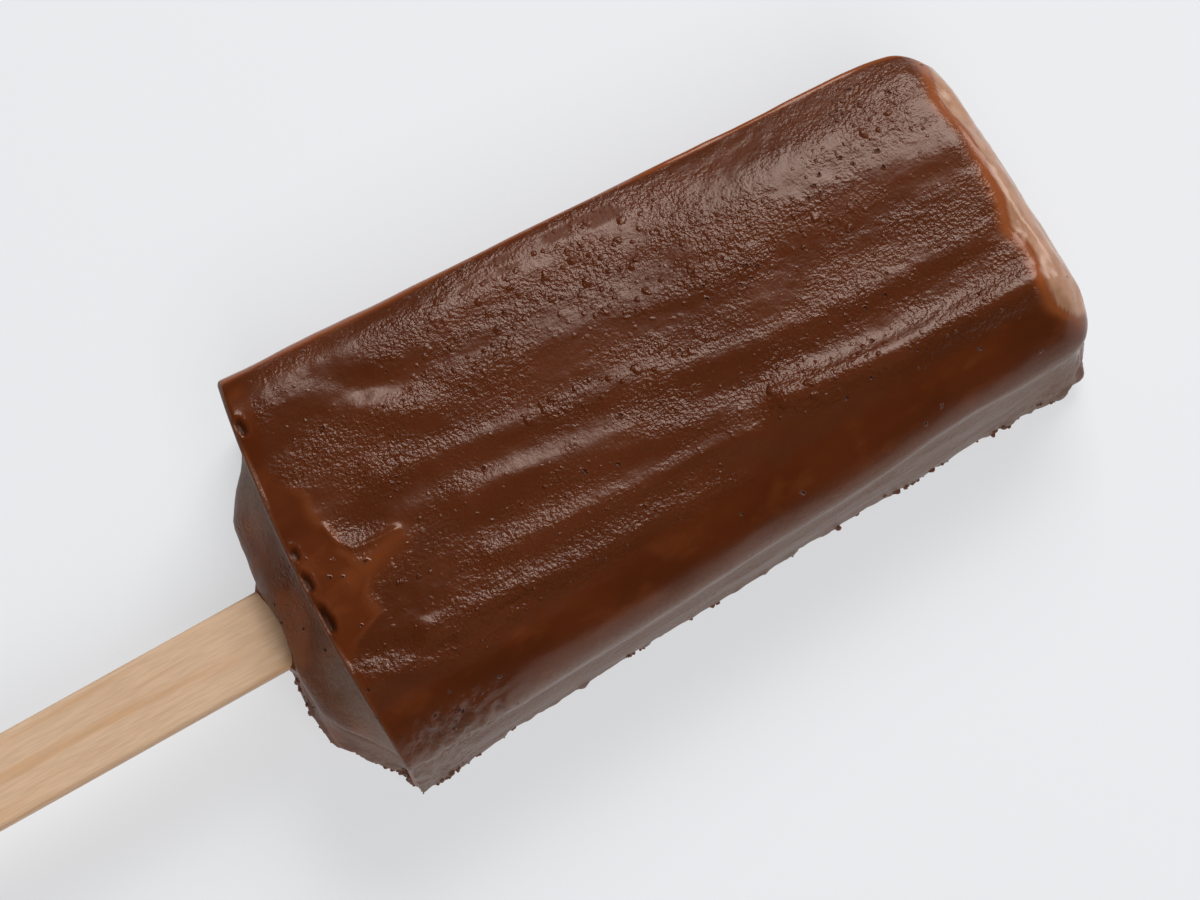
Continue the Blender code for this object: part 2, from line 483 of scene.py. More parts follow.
class Socket:
    """One output of a material's node. Python's operators on it add Math nodes."""

    def __init__(self, finish, output):
        self.finish = finish
        self.output = output

    def maths(self, operation, *values, clamp=False):
        settings = {"operation": operation, "use_clamp": clamp}
        return self.finish.add("ShaderNodeMath", settings, dict(enumerate(values)))

    def __add__(self, other):
        return self.maths("ADD", self, other)

    __radd__ = __add__

    def __sub__(self, other):
        return self.maths("SUBTRACT", self, other)

    def __rsub__(self, other):
        return self.maths("SUBTRACT", other, self)

    def __mul__(self, other):
        return self.maths("MULTIPLY", self, other)

    __rmul__ = __mul__

    def clamped(self):
        return self.maths("ADD", self, 0.0, clamp=True)


class Finish:
    """A new material whose nodes are added one at a time."""

    def __init__(self, name):
        self.material = bpy.data.materials.new(name)
        self.material.use_nodes = True
        self.tree = self.material.node_tree
        self.shader = self.tree.nodes["Principled BSDF"]

    def add(self, kind, settings=None, inputs=None, output=0):
        node = self.tree.nodes.new(kind)
        for name, value in (settings or {}).items():
            setattr(node, name, value)
        for name, value in (inputs or {}).items():
            self.feed(node.inputs[name], value)
        return Socket(self, node.outputs[output])

    def feed(self, socket, value):
        if isinstance(value, Socket):
            self.tree.links.new(value.output, socket)
        else:
            socket.default_value = value

    def set(self, **inputs):
        for name, value in inputs.items():
            self.feed(self.shader.inputs[name.replace("_", " ")], value)

    def place(self, scale=(1, 1, 1)):
        """The place in the frame, in metres, stretched by these factors."""
        spot = self.add("ShaderNodeTexCoord", output="Object")
        settings = {"operation": "MULTIPLY"}
        return self.add("ShaderNodeVectorMath", settings, {0: spot, 1: scale})

    def noise(self, size, stretch=(1, 1, 1), detail=2.0, roughness=0.5):
        inputs = {"Vector": self.place(stretch), "Scale": 1 / size, "Detail": detail}
        inputs["Roughness"] = roughness
        return self.add("ShaderNodeTexNoise", {}, inputs)

    def ramp(self, value, low, high):
        """From 0 at the low value to 1 at the high one, smoothly."""
        settings = {"interpolation_type": "SMOOTHSTEP"}
        inputs = {"Value": value, "From Min": low, "From Max": high}
        return self.add("ShaderNodeMapRange", settings, inputs)

    def mix(self, share, first, second):
        settings = {"data_type": "RGBA"}
        return self.add("ShaderNodeMix", settings, {0: share, 6: first, 7: second}, 2)

    def mask(self, name):
        return self.add("ShaderNodeAttribute", {"attribute_name": name}, output="Fac")

    def bump(self, height, distance, below=None):
        inputs = {"Height": height, "Distance": distance, "Strength": 1.0}
        if below is not None:
            inputs["Normal"] = below
        return self.add("ShaderNodeBump", {}, inputs)


def solid(color):
    return (*color, 1.0)


def craters(finish, cell, radius, share, seed_shift):
    """Scattered round spots: how far inside one a place is, and how far on its rim."""
    shift = {"operation": "ADD"}
    place = finish.place((1 / cell, 1 / cell, 1 / cell))
    moved = finish.add("ShaderNodeVectorMath", shift, {0: place, 1: (seed_shift, seed_shift, 0)})
    voronoi = {"Vector": moved, "Scale": 1.0, "Randomness": 0.9}
    wobble = finish.add("ShaderNodeTexNoise", {}, {"Vector": moved, "Scale": 1.7}, output="Color")
    swing = finish.add("ShaderNodeVectorMath", {"operation": "SCALE"}, {0: wobble, "Scale": 0.5})
    voronoi["Vector"] = finish.add("ShaderNodeVectorMath", shift, {0: moved, 1: swing})
    reach = finish.add("ShaderNodeTexVoronoi", {}, voronoi)
    pick = finish.add("ShaderNodeTexVoronoi", {}, voronoi, output="Color")
    lot = finish.add("ShaderNodeSeparateColor", {}, {"Color": pick})
    chosen = finish.ramp(lot, 1 - share, 1 - share + 0.02)
    inside = (1 - reach * reach * (1 / radius**2)).clamped()
    rim = finish.ramp(reach, radius * 1.7, radius) - finish.ramp(reach, radius, radius * 0.8)
    return inside * chosen, rim * chosen


def chocolate_browns(finish, settings):
    """The bare chocolate's colour: dry, melted and on the dome, and a painted glow of light where it
    is thin.
    """
    drift = finish.noise(0.008, (0.4, 1, 1), detail=3)
    shade = finish.ramp(drift, 0.36, 0.64)
    brown = finish.mix(shade, solid(settings.dark_color), solid(settings.brown_color))
    wet_shade = finish.ramp(finish.noise(0.007, (0.6, 1, 1), detail=2), 0.32, 0.68)
    wet_brown = finish.mix(wet_shade, solid(settings.wet_dark_color), solid(settings.wet_color))
    mottle = finish.ramp(finish.noise(0.0030, (0.6, 1, 1), detail=3), 0.50, 0.72)
    mottled = finish.mix(mottle * 0.18, wet_brown, solid(settings.glow_color))
    melted = finish.mix(finish.mask("wet"), brown, mottled)
    rust_patches = finish.ramp(finish.noise(0.0055, detail=3), 0.46, 0.66)
    domed = finish.mix(rust_patches * 0.6, solid(settings.dome_color), solid(settings.glow_color))
    bare = finish.mix(finish.mask("dome") * 0.85, melted, domed)
    # Painted glow: light through thin chocolate and on edges that face the lamps.
    return finish.mix(finish.mask("glow"), bare, solid(settings.glow_color))


def painted_tip_highlight(finish, settings):
    """The paler strip along the tip: a painted highlight that stands in for the tip light's
    reflection and strong light.
    """
    shade = finish.ramp(finish.noise(0.0022, detail=3), 0.35, 0.7)
    return finish.mix(shade, solid(settings.tip_highlight_dark_color), solid(settings.tip_highlight_color))


def chocolate_relief(finish, dry, frost, icy, sunk):
    """Pebbles, grains and blisters less what is sunk, or grains of ice where it is frosted."""
    pebbles = finish.noise(0.00044, detail=1.5, roughness=0.6) - 0.5
    lumps = finish.noise(0.0011, (0.55, 1, 1), detail=2, roughness=0.6) - 0.5
    patchy = 0.25 + 1.25 * finish.ramp(finish.noise(0.0060, (0.5, 1, 1), detail=2), 0.38, 0.62)
    relief = (pebbles * 0.95 + lumps * 0.9) * patchy * (dry * 0.96 + 0.04)
    grain, _ = craters(finish, 0.0010, 0.26, 0.40, 1.7)
    bubble, _ = craters(finish, 0.0020, 0.31, 0.55, 7.7)
    small_bubble, _ = craters(finish, 0.0011, 0.34, 0.45, 9.3)
    raised = grain * dry * patchy
    raised += finish.mask("blister") * (bubble * 2.0 + small_bubble * 1.6)
    return relief + (raised - sunk) * (1 - frost) + (icy - 0.5) * frost


def make_chocolate(settings):
    """Chocolate ice: pebbled brown, with a painted glow of light where thin or melted, greyed by
    frost and by a painted floor reflection, darkened by painted shade in holes, and with a painted
    highlight round the tip.
    """
    finish = Finish("chocolate_ice")
    frost = finish.mask("frost")
    holed = finish.mask("pinholes")
    dry = (1 - finish.mask("wet")).clamped()
    pit, pit_rim = craters(finish, 0.0034, 0.090, 0.35, 3.3)
    pinhole, pinhole_rim = craters(finish, 0.0014, 0.19, 0.50, 5.1)
    hole = (pit * (1 - frost) + pinhole * holed * 1.5 + finish.mask("hollow") * 0.9).clamped()
    icy = finish.noise(0.00045, detail=3, roughness=0.7)
    icy_patches = 0.70 + 0.5 * finish.ramp(icy, 0.30, 0.75)
    browns = chocolate_browns(finish, settings)
    # Frost greys the chocolate. On the near wall and the end's slope this grey is also a painted
    # floor reflection.
    with_frost_and_sheen = finish.mix((frost * icy_patches).clamped(), browns, solid(settings.frost_and_sheen_color))
    # Pits, pinholes and the lip's hollows get painted shade: darkened towards the hole colour.
    with_hole_shade = finish.mix(hole * 0.8, with_frost_and_sheen, solid(settings.hole_shade_color))
    # The pale share round the tip is a painted highlight of the light past the tip.
    color = finish.mix(finish.mask("pale"), with_hole_shade, painted_tip_highlight(finish, settings))
    gloss = finish.noise(0.004, (0.4, 1, 1), detail=3)
    rough = 0.19 + dry * (0.02 + 0.12 * gloss) + frost * 0.25
    rough = rough + finish.mask("island") * 0.3 + finish.mask("dome") * 0.15 + hole * 0.4
    finish.set(Base_Color=color, Roughness=rough.clamped(), IOR=1.45)
    finish.set(Subsurface_Weight=0.10, Subsurface_Scale=0.0015)
    finish.set(Specular_Tint=solid(settings.shine_color))
    sunk = pit * 2.4 - pit_rim * 0.3 + (pinhole * 2.6 - pinhole_rim * 0.3) * holed
    height = chocolate_relief(finish, dry, frost, icy, sunk)
    finish.set(Normal=finish.bump(height, 0.00011))
    return finish.material


def make_crumb_finish(settings):
    """Loose bits of chocolate ice, some brown and some grey with frost."""
    finish = Finish("chocolate_crumbs")
    shade = finish.ramp(finish.noise(0.0016, detail=2), 0.40, 0.62)
    grain = finish.noise(0.00025, detail=2)
    color = finish.mix(shade, solid(settings.crumb_color), solid(settings.pale_crumb_color))
    finish.set(Base_Color=color, Roughness=0.45 + 0.2 * grain, IOR=1.45)
    finish.set(Subsurface_Weight=0.10, Subsurface_Scale=0.0010)
    finish.set(Normal=finish.bump(grain, 0.00008))
    return finish.material


def make_birch(settings):
    """Bare birch: pale, with fine lengthwise grain and a few warmer streaks."""
    finish = Finish("birch")
    streak = finish.noise(0.0016, (0.035, 1, 1), detail=3)
    fibre = finish.noise(0.00022, (0.05, 1, 1), detail=2)
    flecks = finish.noise(0.0005, (0.12, 1, 1), detail=2)
    warm = finish.ramp(streak, 0.5, 0.72)
    base = finish.mix(warm, solid(settings.birch_color), solid(settings.streak_color))
    fine = finish.ramp(fibre * 0.6 + flecks * 0.4, 0.36, 0.66)
    color = finish.mix(fine * 0.45, base, solid(settings.grain_color))
    finish.set(Base_Color=color, Roughness=0.5 + fibre * 0.2)
    finish.set(Normal=finish.bump(fibre * 0.6 + streak * 0.4, 0.00006))
    return finish.material


# ---------------------------------------------------------------------------- pieces


class Zones:
    """Where on the skin each finish lies, as numbers from 0 to 1 at its points."""

    def __init__(self, skin):
        self.points = skin.points
        self.normal = skin.normals()
        self.depth = skin.depth
        self.on_end = skin.on_end
        self.body = 1 - skin.on_end
        x, y, z = self.points.T
        _, facing_y, facing_z = self.normal.T
        self.ragged = rough_noise(self.points, 2.4, 11, 3)
        self.front = smooth_step(0.45, 0.85, facing_z) * self.body
        self.near_wall = smooth_step(0.72, 0.95, -facing_y) * self.body
        self.back = smooth_step(0.3, 0.9, -facing_z) * self.body
        self.upward = smooth_step(0.2, 0.5, facing_z)
        self.middle = smooth_step(12, 7, abs(y + 1))
        self.from_rim = x - rim_line(y)
        self.border = self.from_rim - wet_edge(y) + 0.5 * self.ragged
        self.tongue = along_path(self.points, TONGUE, 1.5) * self.front
        self.corner = oval(self.points, *ROUGH_CORNER) * self.body * smooth_step(8, 13, z)
        self.fillet = self.on_end * stick_fillet(y, z)
        highlight_gap = self.past_tip_highlight_edge()
        self.find_melt(highlight_gap)
        self.find_tip_highlight(highlight_gap)
        self.find_glow(highlight_gap)
        self.find_islands()
        self.find_blisters()
        self.find_frost_and_sheen()
        self.find_holes()
        self.wet *= 1 - 0.8 * self.corner

    def past_tip_highlight_edge(self):
        """How far past the start of the tip's painted highlight strip each point lies."""
        x, y, _ = self.points.T
        fine = rough_noise(self.points, 0.9, 15, 2)
        waves = noise(self.points, (9, 3.2, 9), 16)
        gap = x - tip_highlight_edge(y) + 0.07 * fine + 0.12 * self.ragged + 0.45 * waves
        return gap - 3.5 * smooth_step(-15.2, -19.4, y) ** 1.5

    def find_melt(self, highlight_gap):
        """The smooth melted places, and the dry and plowed ones that they leave."""
        facing_y = self.normal[:, 1]
        near_rim = smooth_step(0.9, -0.9, self.border) * self.upward
        far_band = smooth_step(0.48, 0.58, facing_y + 0.04 * self.ragged)
        drift = noise(self.points, (16, 3, 3), 18)
        near_round = smooth_step(0.34, 0.54, -facing_y + 0.05 * drift) * self.upward
        tip_band = smooth_step(-1.8, -0.6, highlight_gap) * self.body
        smooth_places = [near_rim, self.tongue, far_band, near_round, tip_band]
        self.wet = np.maximum.reduce(smooth_places) * self.body
        self.dry = self.front * (1 - self.wet)
        self.plowed = self.front * (1 - 0.8 * smooth_step(1.5, -1.5, self.border))

    def find_tip_highlight(self, highlight_gap):
        _, y, z = self.points.T
        # The tip's pale strip: a painted highlight of the light past the tip.
        self.pale = smooth_step(-0.15, 0.25, highlight_gap) * smooth_step(8, 13, z + 3 * self.ragged)
        self.pale *= smooth_step(-18.8, -18.1, y) * smooth_step(19.5, 17.5, y) * self.body

    def find_glow(self, highlight_gap):
        """The painted glow of light through thin chocolate: along thin and lit edges, round the stick
        and where it melted.
        """
        y = self.points[:, 1]
        _, facing_y, facing_z = self.normal.T
        before_highlight = np.exp(-(((highlight_gap + 0.6) / 0.90) ** 2)) * smooth_step(-21, -17, y)
        thin_edge = smooth_step(0.50, 0.62, facing_y) * smooth_step(-0.2, 0.2, facing_z)
        lip_edge = smooth_step(0.7, 0.1, self.from_rim) * self.front
        edges = np.maximum.reduce([before_highlight, 0.9 * thin_edge, 0.7 * lip_edge]) * self.body
        border_line = np.exp(-((self.border / 0.7) ** 2)) * self.middle
        melt_edge = 0.30 * np.maximum(self.tongue, border_line * self.front)
        self.glow = np.maximum.reduce([edges, self.fillet**0.45, melt_edge])

    def find_islands(self):
        """Dull scraps of skin in the smooth band along the far edge."""
        x, y, _ = self.points.T
        share = np.clip(x / LENGTH, 0, 1)
        from_far_edge = mix(RIM_WIDTH, TIP_WIDTH, share) / 2 - y
        band = np.exp(-(((from_far_edge - 3.4) / 1.3) ** 2))
        band *= smooth_step(26, 34, x) * smooth_step(70, 62, x)
        scraps = rough_noise(self.points, (3.4, 1.5, 1.5), 17, 3)
        self.island = smooth_step(0.10, 0.20, scraps) * smooth_step(0.45, 0.6, band) * self.front

    def find_blisters(self):
        blister = np.zeros(len(self.points))
        for spot in BLISTERED:
            blister = np.maximum(blister, np.minimum(1.6 * oval(self.points, *spot), 1.0))
        self.blister = blister * self.front

    def find_frost_and_sheen(self):
        """The crumbled back edges, the groove inside the rim and the frost on all of them, with a
        painted floor reflection greying the near wall and the end's slope.
        """
        _, y, z = self.points.T
        facing_x, facing_y, _ = self.normal.T
        low = smooth_step(4.2, 0.8, z + 0.9 * self.ragged) * self.body
        outer = abs(facing_y) + np.maximum(facing_x, 0) + 0.5 * smooth_step(4, 0, self.from_rim)
        self.crumble = low * smooth_step(0.2, 0.7, outer)
        self.groove = self.on_end * smooth_step(0.4, 1.0, self.depth)
        # The grey round the dome on the end is frost and a painted reflection of the floor.
        on_dome = smooth_step(0.15, 0.85, dome_share(y, z) + 0.12 * self.ragged)
        off_dome = self.groove * (1 - on_dome)
        off_dome *= smooth_step(5.0, 13.0, abs(y + 1.5) + 0.8 * self.ragged)
        low_end = self.groove * smooth_step(13.0, 8.5, z + 0.6 * self.ragged)
        # The walls' grey is frost and a painted reflection of the floor at a grazing angle.
        walls = 0.60 * self.near_wall + 0.3 * self.back
        places = [0.85 * off_dome, 0.4 * low_end, 0.4 * self.crumble, walls, 0.10 * self.corner]
        self.frost = np.maximum.reduce(places) * (1 - 0.9 * self.fillet)

    def find_holes(self):
        """Where pinholes gather, and the insides of the bubble hollows, darkened with painted shade.
        """
        _, y, z = self.points.T
        melt_holes = smooth_step(1.0, -0.5, self.border) * self.front * smooth_step(6, 1, y)
        end_holes = self.on_end * smooth_step(7, 3, abs(y + 5)) * smooth_step(8, 11, z)
        self.pinholes = np.maximum(melt_holes, end_holes)
        for spot in PITTED:
            cluster = smooth_step(0.25, 0.5, oval(self.points, *spot)) * self.body
            self.pinholes = np.maximum(self.pinholes, cluster * self.upward)
        self.hollow = np.zeros(len(self.points))
        for hollow_x, hollow_y, length, width, _ in HOLLOWS:
            pit = oval(self.points, hollow_x, hollow_y, width, length, HOLLOW_TURN)
            self.hollow = np.maximum(self.hollow, smooth_step(0.40, 0.65, pit) * self.body)


def drag_relief(zones, settings):
    """Crests, furrows and pebbles left where the bar slid past its wrapper."""
    points = zones.points
    turn = settings.drag_angle
    dragged = points.copy()
    dragged[:, 0] = points[:, 0] * math.cos(turn) + points[:, 1] * math.sin(turn)
    dragged[:, 1] = points[:, 1] * math.cos(turn) - points[:, 0] * math.sin(turn)
    furrow = settings.furrow_depth / MM
    relief = rough_noise(points, (24, 12, 12), 21, 2) * 0.30 * zones.front
    relief += noise(dragged, (34, 5.0, 9), 31) * 0.40 * furrow * zones.plowed
    relief += noise(dragged, (15, 2.6, 6), 33) * 0.20 * furrow * zones.plowed
    relief += rough_noise(dragged, (5, 1.3, 4), 41, 2) * 0.016 * zones.dry
    relief += rough_noise(points, 1.4, 51, 2) * 0.030 * zones.dry
    low_left = oval(points, 12, -15.0, 12, 4.0, -8) * (1 - zones.corner)
    relief += rough_noise(dragged, (4.0, 1.6, 3), 53, 3) * 0.20 * low_left * zones.front
    for path, width, height in CRESTS:
        wander = points + (noise(points, (14, 30, 30), 35) * 0.7)[:, None] * [0, 1, 0]
        relief += height * along_path(wander, path, width) * zones.plowed
    for x, y, length, width, angle, height in DENTS:
        relief += height * oval(points, x, y, length, width, angle) * zones.front
    relief -= 0.05 * zones.island
    return relief


def melt_relief(zones):
    """The melted band along the rim: its raised border, its hook and the hollows in the lip."""
    points = zones.points
    relief = 0.05 * np.exp(-((zones.border / 0.8) ** 2)) * zones.front * zones.middle
    relief += 0.32 * along_path(points, HOOK, 0.36) * zones.front
    relief += 0.20 * zones.tongue
    relief += rough_noise(points, (1.8, 3.4, 3), 55, 3) * 0.13 * zones.pale
    rim = zones.body * smooth_step(0.1, 0.4, zones.normal[:, 2])
    for x, y, length, width, depth in HOLLOWS:
        pit = oval(points, x, y, width, length, HOLLOW_TURN)
        relief -= depth * smooth_step(0.25, 0.65, pit) * rim
        relief += 0.16 * np.exp(-(((pit - 0.2) / 0.1) ** 2)) * rim
    return relief


def frost_relief(zones):
    """Lumps on the frosted end, flutes on the walls and the crumbled back edge."""
    points = zones.points
    x, y, z = points.T
    plain = (1 - zones.front) * (1 - zones.back) * zones.body
    relief = rough_noise(points, 6.0, 61, 2) * 0.10 * plain
    level = z + 3.0 * noise(points, (15, 40, 40), 65)
    relief -= 0.75 * np.exp(-(((level - 11.5) / 2.8) ** 2)) * zones.near_wall
    relief += 0.60 * smooth_step(6.0, 1.0, level) * zones.near_wall
    relief += rough_noise(points, (9, 1.6, 1.2), 63, 3) * 0.05 * zones.near_wall
    relief += rough_noise(points, 1.3, 71, 3) * (0.30 * zones.crumble + 0.03 * zones.groove)
    relief += rough_noise(points, 5.0, 81, 2) * 0.22 * zones.groove * smooth_step(3, 6, zones.depth)
    corner = smooth_step(9, 2, x) * smooth_step(17, 11, z) * zones.near_wall
    relief += rough_noise(points, 2.0, 73, 3) * 0.42 * corner
    relief += (rough_noise(points, 1.1, 79, 3) * 0.40 - 0.20) * zones.corner
    low = smooth_step(12.5, 8.5, z) * smooth_step(-25, -21, y) * smooth_step(-2, -10, y)
    relief += (0.9 + 0.40 * rough_noise(points, 0.9, 75, 3)) * low * zones.groove
    crevice = np.exp(-(((z - 14.5) / 1.3) ** 2)) * smooth_step(-9, -15, y)
    relief -= 0.9 * crevice * zones.groove
    flare = smooth_step(9, 2, z) * smooth_step(78, 93, x) * smooth_step(-4, -18, y)
    relief += (1.3 + 0.4 * rough_noise(points, 1.4, 77, 3)) * flare * zones.body
    return relief


def build_bar(settings):
    """The block's skin, with its relief, and the finish's numbers at its points."""
    skin = Skin(settings)
    zones = Zones(skin)
    relief = drag_relief(zones, settings) + melt_relief(zones) + frost_relief(zones)
    moved = skin.points + zones.normal * relief[:, None]
    moved[:, 2] = np.maximum(moved[:, 2], 0.0)
    low_groove = zones.groove * smooth_step(12, 6, skin.points[:, 2])
    values = {
        "wet": zones.wet,
        "frost": np.clip(zones.frost, 0, 1),
        # The pale share is where the tip's painted highlight lies.
        "pale": zones.pale,
        "dome": zones.on_end,
        "glow": zones.glow,
        "island": zones.island,
        "blister": zones.blister,
        "pinholes": zones.pinholes,
        "hollow": zones.hollow,
        "crumble": np.maximum.reduce([zones.crumble, low_groove, 0.12 * zones.corner**3]),
    }
    faces = tube_faces(skin.count, skin.around)
    material = make_chocolate(settings)
    bar = new_mesh_object("ice_bar_skin", into_frame(moved), faces, material, values)
    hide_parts("ice_bar")
    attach(bar, "root")


def built_skin():
    """The block's finished points, normals and crumbling share, in metres."""
    bar = bpy.data.objects.get("ice_bar_skin")
    if bar is None:
        raise RuntimeError("The block has to be built before its crumbs")
    count = len(bar.data.vertices)
    points, normals, share = np.empty(3 * count), np.empty(3 * count), np.empty(count, np.float32)
    bar.data.vertices.foreach_get("co", points)
    bar.data.vertices.foreach_get("normal", normals)
    bar.data.attributes["crumble"].data.foreach_get("value", share)
    return points.reshape(-1, 3), normals.reshape(-1, 3), share


def small_ball():
    """The points and faces of a ball of radius 1."""
    ball = bmesh.new()
    bmesh.ops.create_icosphere(ball, subdivisions=2, radius=1.0)
    points = np.array([vertex.co[:] for vertex in ball.verts])
    faces = np.array([[vertex.index for vertex in face.verts] for face in ball.faces])
    ball.free()
    return points, faces


# Crumbs lie above this height, in metres, and sink in by this share of their size.
LEAST_CRUMB_HEIGHT = 0.0004
CRUMB_RISE = 0.15
# How rough a crumb is, how its size is drawn, and how much its three sides differ.
CRUMB_ROUGHNESS = 0.30
CRUMB_SIZES = (0.35, 1.0)
CRUMB_SMALLNESS = 1.5
CRUMB_STRETCH = (0.7, 1.2)
CRUMB_SEED = 8


def build_crumbs(settings):
    """Small rough lumps, pressed into the crumbled back edges."""
    points, normals, share = built_skin()
    chance = np.random.default_rng(CRUMB_SEED)
    ball, ball_faces = small_ball()
    clumps = smooth_step(-0.1, 0.5, noise(points / MM, 5.0, 97)) + 0.04
    above_floor = points[:, 2] > LEAST_CRUMB_HEIGHT
    weight = np.where(above_floor, share, 0.0).clip(0, 1) ** 2 * clumps
    chosen = chance.choice(len(points), settings.crumb_count, False, weight / weight.sum())
    all_points = []
    all_faces = []
    for number, index in enumerate(chosen):
        size = settings.crumb_size * chance.uniform(*CRUMB_SIZES) ** CRUMB_SMALLNESS
        size = size * chance.uniform(*CRUMB_STRETCH, 3)
        rough = rough_noise(ball + number * 7.0, 0.9, 5, 2)
        lump = ball * (1 + CRUMB_ROUGHNESS * rough)[:, None] * size
        turn = np.array(Quaternion(chance.normal(size=4)).normalized().to_matrix())
        centre = points[index] + normals[index] * size.min() * CRUMB_RISE
        lump = lump @ turn.T + centre
        lump[:, 2] = np.maximum(lump[:, 2], 0.0)
        all_points.append(lump)
        all_faces.append(ball_faces + number * len(ball))
    points = np.concatenate(all_points)
    material = make_crumb_finish(settings)
    crumbs = new_mesh_object("crumbs", points, np.concatenate(all_faces), material)
    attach(crumbs, "root")


# Steps along the stick, across each face and down each edge.
STICK_STEPS = 226
STICK_FACE_STEPS = 22
STICK_EDGE_STEPS = 6
# How far from each end of the stick its first stations lie.
STICK_END_GAPS = (0, 0.05, 0.15, 0.3)
STICK_EASE = 0.35
STICK_LEAST_HALF_WIDTH = 0.05
STICK_GRAIN = 0.015


def stick_stations():
    """Places along the stick, closer together at its ends."""
    inner = np.linspace(-STICK_EXPOSED, STICK_REACH, STICK_STEPS)[1:-1]
    gaps = np.array(STICK_END_GAPS)
    return np.concatenate([gaps - STICK_EXPOSED, inner, STICK_REACH - gaps[::-1]])


def stick_loop():
    """The stick's section walked once round, from -1 to 1 across it and through it."""
    across = np.linspace(-1, 1, STICK_FACE_STEPS)
    down = np.linspace(1, -1, STICK_EDGE_STEPS)[1:-1]
    loop = []
    for sign in (1, -1):
        loop += [(sign * share, sign * 1.0) for share in across]
        loop += [(sign * 1.0, sign * height) for height in down]
    return np.array(loop)


def stick_ring(loop, station):
    """The section's points at this station, with its corners eased round."""
    reach = min(station + STICK_EXPOSED, STICK_REACH - station)
    inside = max(STICK_HALF_WIDTH - reach, 0.0)
    width = max(math.sqrt(STICK_HALF_WIDTH**2 - inside**2), STICK_LEAST_HALF_WIDTH)
    flat_y = width - STICK_EASE
    flat_z = STICK_HALF_THICKNESS - STICK_EASE
    y = loop[:, 0] * width
    z = loop[:, 1] * STICK_HALF_THICKNESS
    past_y = abs(y) - flat_y
    past_z = abs(z) - flat_z
    corner = (past_y > 0) & (past_z > 0)
    spread = np.where(corner, np.hypot(past_y, past_z), 1.0)
    shrink = np.where(corner, np.maximum(past_y, past_z) / spread, 1.0)
    y = np.where(corner, np.copysign(flat_y + past_y * shrink, y), y)
    z = np.where(corner, np.copysign(flat_z + past_z * shrink, z), z)
    return np.stack([np.full(len(loop), station), y, z], axis=1)


def build_stick(settings):
    """A plate with round ends and eased edges, in its own plane, then tilted into place."""
    loop = stick_loop()
    rings = [stick_ring(loop, station) for station in stick_stations()]
    points = np.concatenate(rings)
    grain = rough_noise(points, (24, 0.5, 0.5), 101, 2) * STICK_GRAIN
    points[:, 2] += np.sign(points[:, 2]) * np.minimum(grain, 0.02)
    tilt = np.array(Matrix.Rotation(STICK_SLOPE, 3, "Y"))
    points = points @ tilt.T + np.array([0, STICK_SIDE_SHIFT, MIDDLE])
    faces = tube_faces(len(rings), len(loop))
    material = make_birch(settings)
    stick = new_mesh_object("stick_wood", into_frame(points), faces, material)
    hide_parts("stick")
    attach(stick, "root")


# ---------------------------------------------------------------------------- stage


# What the camera and the lamps look at, in metres past the rim's plane, across and up.
CAMERA_AIM = (0.0376, -0.0021, 0.0106)
LAMP_AIM = (0.04, 0, 0.01)
LENS = 99.7
SENSOR_WIDTH = 36
# Each softbox: its azimuth and elevation in degrees, then its distance and size in metres.
KEY_PLACE = (50, 45, 1.6, (1.0, 0.8))
TIP_PLACE = (8, 14, 1.0, (0.6, 0.25))
FILL_PLACE = (262, 58, 1.5, (0.9, 0.9))
FLOOR_HALF_SIZE = 1.5


def past_rim(x, y, z):
    return Vector((RIM_X + x, y, z))


def add_lamp(name, place, power):
    """A rectangular softbox that faces the bar. Azimuth 0 is along +X, and 90 along +Y."""
    azimuth, elevation, distance, size = place
    turn = math.radians(azimuth)
    lift = math.radians(elevation)
    flat = math.cos(lift)
    toward = Vector((math.cos(turn) * flat, math.sin(turn) * flat, math.sin(lift)))
    data = bpy.data.lights.new(name, "AREA")
    data.shape = "RECTANGLE"
    data.size, data.size_y = size
    data.energy = power
    lamp = bpy.data.objects.new(name, data)
    lamp.location = past_rim(*LAMP_AIM) + toward * distance
    lamp.rotation_euler = toward.to_track_quat("Z", "Y").to_euler()
    bpy.context.scene.collection.objects.link(lamp)
    return lamp


def add_camera(settings):
    """The camera, turned and rolled about what it looks at."""
    azimuth = settings.view_azimuth
    elevation = settings.view_elevation
    flat = math.cos(elevation)
    back = Vector((math.sin(azimuth) * flat, -math.cos(azimuth) * flat, math.sin(elevation)))
    right = (-back).cross(Vector((0, 0, 1))).normalized()
    up = right.cross(-back)
    roll = settings.view_roll
    turned_right = right * math.cos(roll) + up * math.sin(roll)
    turned_up = up * math.cos(roll) - right * math.sin(roll)
    data = bpy.data.cameras.new("camera")
    data.sensor_width = SENSOR_WIDTH
    data.lens = LENS
    data.clip_start = 0.01
    camera = bpy.data.objects.new("camera", data)
    turn = Matrix((turned_right, turned_up, back)).transposed().to_4x4()
    place = past_rim(*CAMERA_AIM) + back * settings.view_distance
    camera.matrix_world = Matrix.Translation(place) @ turn
    bpy.context.scene.collection.objects.link(camera)
    bpy.context.scene.camera = camera


